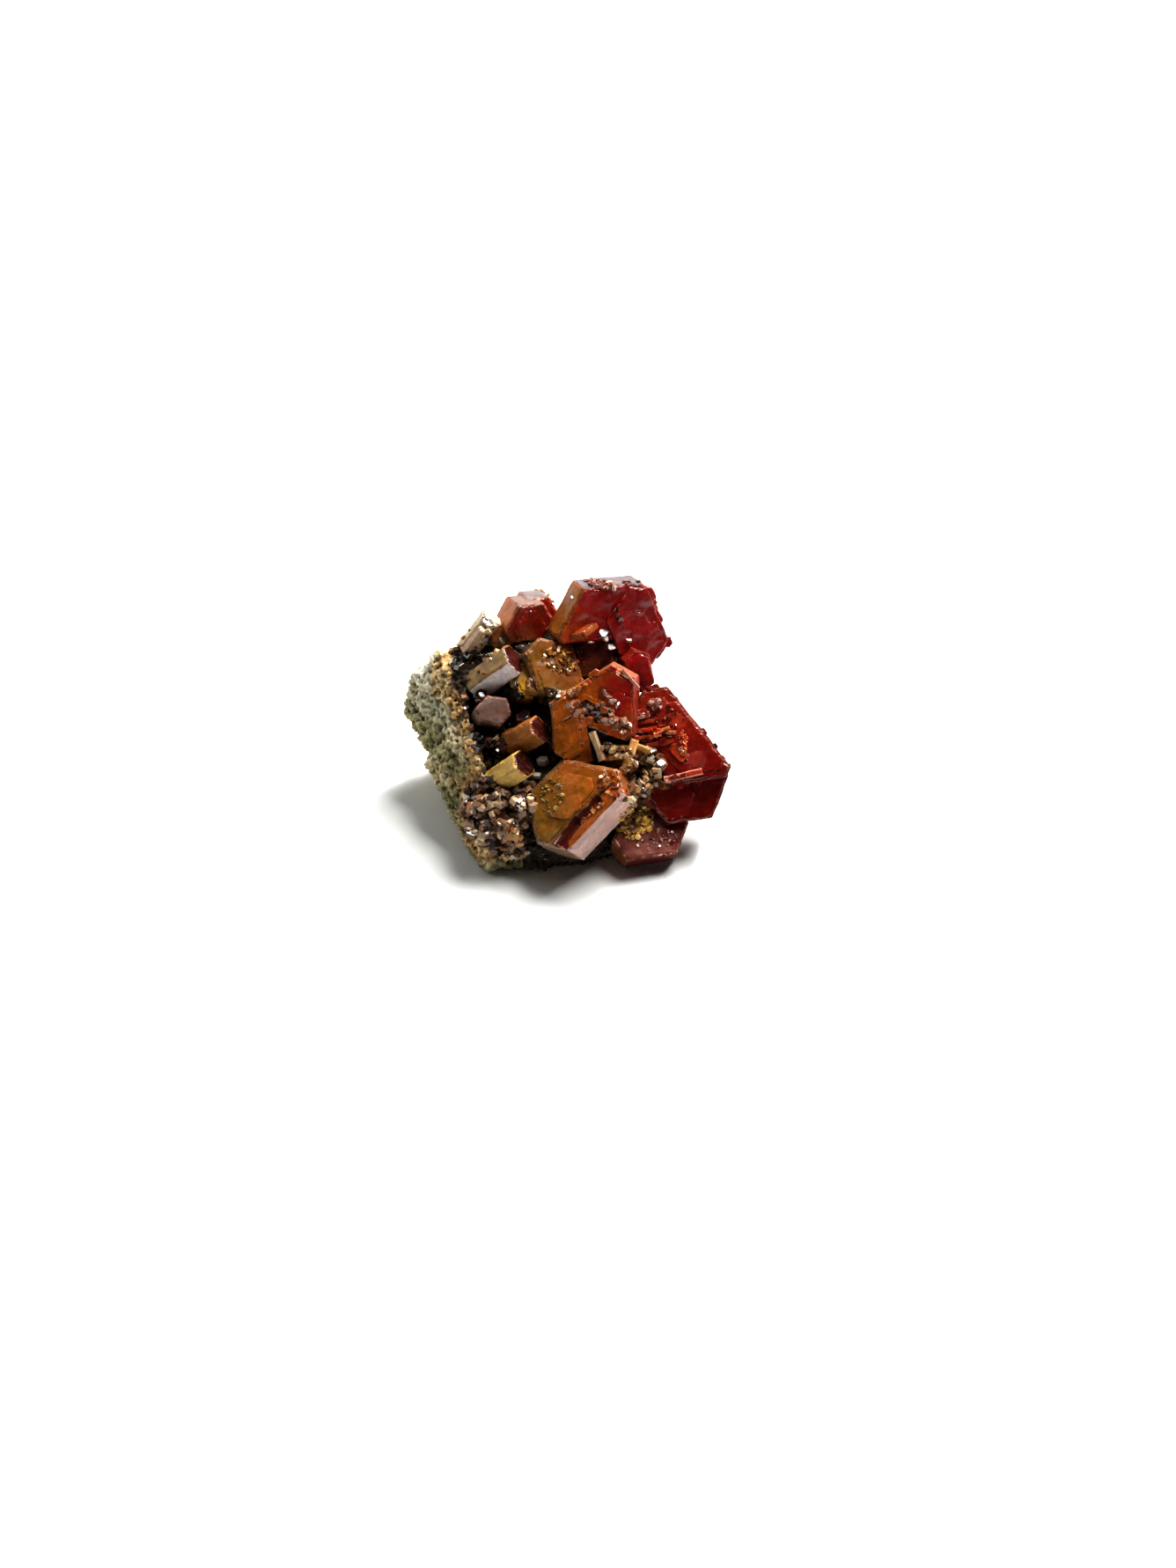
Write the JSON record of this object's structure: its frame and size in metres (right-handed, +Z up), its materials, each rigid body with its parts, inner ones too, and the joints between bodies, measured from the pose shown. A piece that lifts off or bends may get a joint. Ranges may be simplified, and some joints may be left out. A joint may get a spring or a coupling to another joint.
{
  "type": "mineral specimen",
  "caption": "Cluster of six-sided vanadinite crystals, tan to deep red, grown on a broken lump of pale rock that rests on its flat base.",
  "frame": {"origin": "on the surface that the specimen rests on, under the middle of its box", "axes": "+Z up; the side that shows the crystals looks along -Y and up; +X to the right as seen from there"},
  "size_m": [0.0322, 0.0262, 0.0224],
  "materials": {
    "red_vanadinite": "deep red crystal faces with a resinous gloss",
    "orange_vanadinite": "orange to red crystal faces with a resinous gloss",
    "amber_vanadinite": "amber to olive crystal faces, satin, with small crystals on them",
    "brown_vanadinite": "dark brown crystal faces with a resinous gloss",
    "tan_vanadinite": "tan crystal faces, satin",
    "matrix_rock": "rough broken rock, green-grey, with an ochre crust"
  },
  "bodies": {
    "root": {"upper_red_crystals": "red_vanadinite", "upper_orange_crystals": "orange_vanadinite", "olive_crystal": "amber_vanadinite", "centre_orange_crystal": "orange_vanadinite", "right_red_crystals": "red_vanadinite", "front_amber_crystal": "amber_vanadinite", "rim_crystal": "tan_vanadinite", "brown_crystals": "brown_vanadinite", "lower_left_crystals": "brown_vanadinite", "centre_small_crystals": "tan_vanadinite", "back_red_crystal": "red_vanadinite", "back_brown_crystal": "brown_vanadinite", "side_red_crystal": "red_vanadinite", "matrix": "matrix_rock"}
  },
  "joints": []
}
